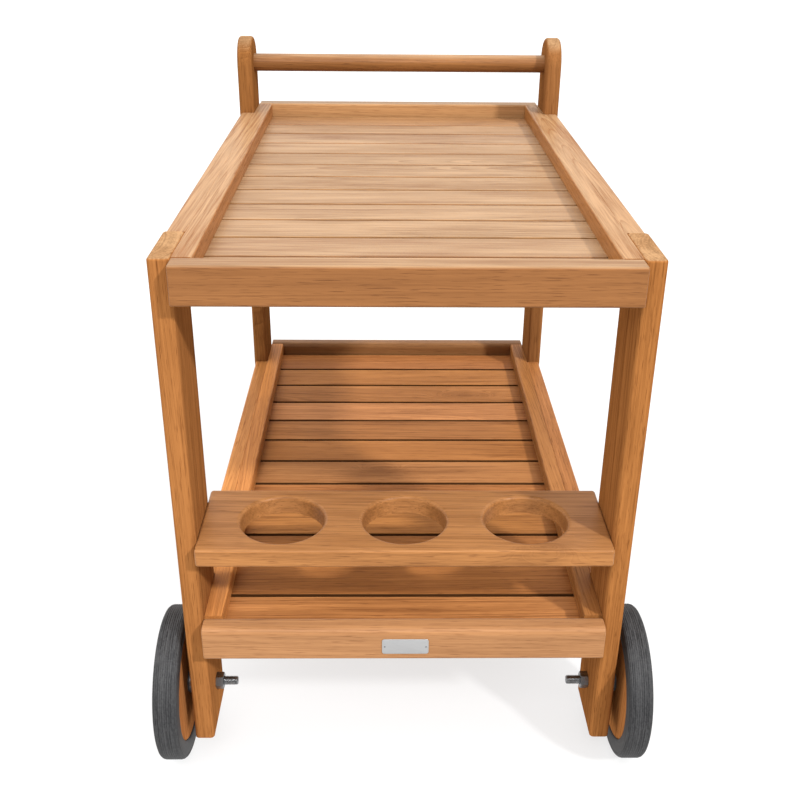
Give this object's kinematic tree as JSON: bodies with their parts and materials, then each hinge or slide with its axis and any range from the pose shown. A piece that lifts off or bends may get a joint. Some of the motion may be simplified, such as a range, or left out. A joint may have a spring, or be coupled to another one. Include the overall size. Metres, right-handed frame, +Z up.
{
  "type": "serving cart",
  "caption": "Wooden serving cart on wheels with slatted upper and lower trays, a round push handle, a bottle board with round holes and rubber-tyred wooden wheels.",
  "frame": {"origin": "on the floor, in the middle of the rectangle that the cart covers", "axes": "+Z up, +Y from the bottle board and wheels at the front to the handle at the back, +X to the right seen from the front"},
  "size_m": [0.6316, 0.92, 0.8035],
  "materials": {
    "frame_wood": "oiled hardwood, straight warm brown grain",
    "slat_wood": "oiled hardwood, paler flat-sawn boards",
    "wheel_wood": "oiled hardwood disc",
    "tyre_rubber": "dull dark grey rubber with fine ribs round the tread",
    "axle_steel": "zinc-plated steel",
    "bush_plastic": "self-lubricating moulded plastic"
  },
  "bodies": {
    "cart": {"upper_side_rail_left": "frame_wood", "upper_side_rail_right": "frame_wood", "upper_side_strip_left": "frame_wood", "upper_side_strip_right": "frame_wood", "upper_front_rail": "frame_wood", "upper_back_rail": "frame_wood", "upper_slat_01": "slat_wood", "upper_slat_02": "slat_wood", "upper_slat_03": "slat_wood", "upper_slat_04": "slat_wood", "upper_slat_05": "slat_wood", "upper_slat_06": "slat_wood", "upper_slat_07": "slat_wood", "upper_slat_08": "slat_wood", "upper_slat_09": "slat_wood", "upper_slat_10": "slat_wood", "upper_slat_11": "slat_wood", "upper_slat_12": "slat_wood", "lower_side_rail_left": "frame_wood", "lower_side_rail_right": "frame_wood", "lower_side_strip_left": "frame_wood", "lower_side_strip_right": "frame_wood", "lower_front_rail": "frame_wood", "lower_back_rail": "frame_wood", "lower_slat_01": "slat_wood", "lower_slat_02": "slat_wood", "lower_slat_03": "slat_wood", "lower_slat_04": "slat_wood", "lower_slat_05": "slat_wood", "lower_slat_06": "slat_wood", "lower_slat_07": "slat_wood", "lower_slat_08": "slat_wood", "lower_slat_09": "slat_wood", "lower_slat_10": "slat_wood", "lower_slat_11": "slat_wood", "lower_slat_12": "slat_wood", "front_leg_left": "frame_wood", "back_leg_left": "frame_wood", "front_leg_right": "frame_wood", "back_leg_right": "frame_wood", "handle_bar": "frame_wood", "bottle_board": "frame_wood", "leg_screws": "axle_steel", "screw_plugs": "frame_wood", "axle_washers": "axle_steel", "axle_sleeve_left": "axle_steel", "axle_bolt_left": "axle_steel", "axle_nut_left": "axle_steel", "axle_sleeve_right": "axle_steel", "axle_bolt_right": "axle_steel", "axle_nut_right": "axle_steel"},
    "wheel_left": {"wheel_disc_left": "wheel_wood", "tyre_left": "tyre_rubber", "wheel_bush_left": "bush_plastic"},
    "wheel_right": {"wheel_disc_right": "wheel_wood", "tyre_right": "tyre_rubber", "wheel_bush_right": "bush_plastic"}
  },
  "joints": [
    {"name": "wheel_left_spin", "type": "hinge", "parent": "cart", "child": "wheel_left", "pos_m": [-0.2905, -0.3625, 0.0975], "axis": [1, 0, 0], "continuous": true},
    {"name": "wheel_right_spin", "type": "hinge", "parent": "cart", "child": "wheel_right", "pos_m": [0.2905, -0.3625, 0.0975], "axis": [1, 0, 0], "continuous": true}
  ]
}
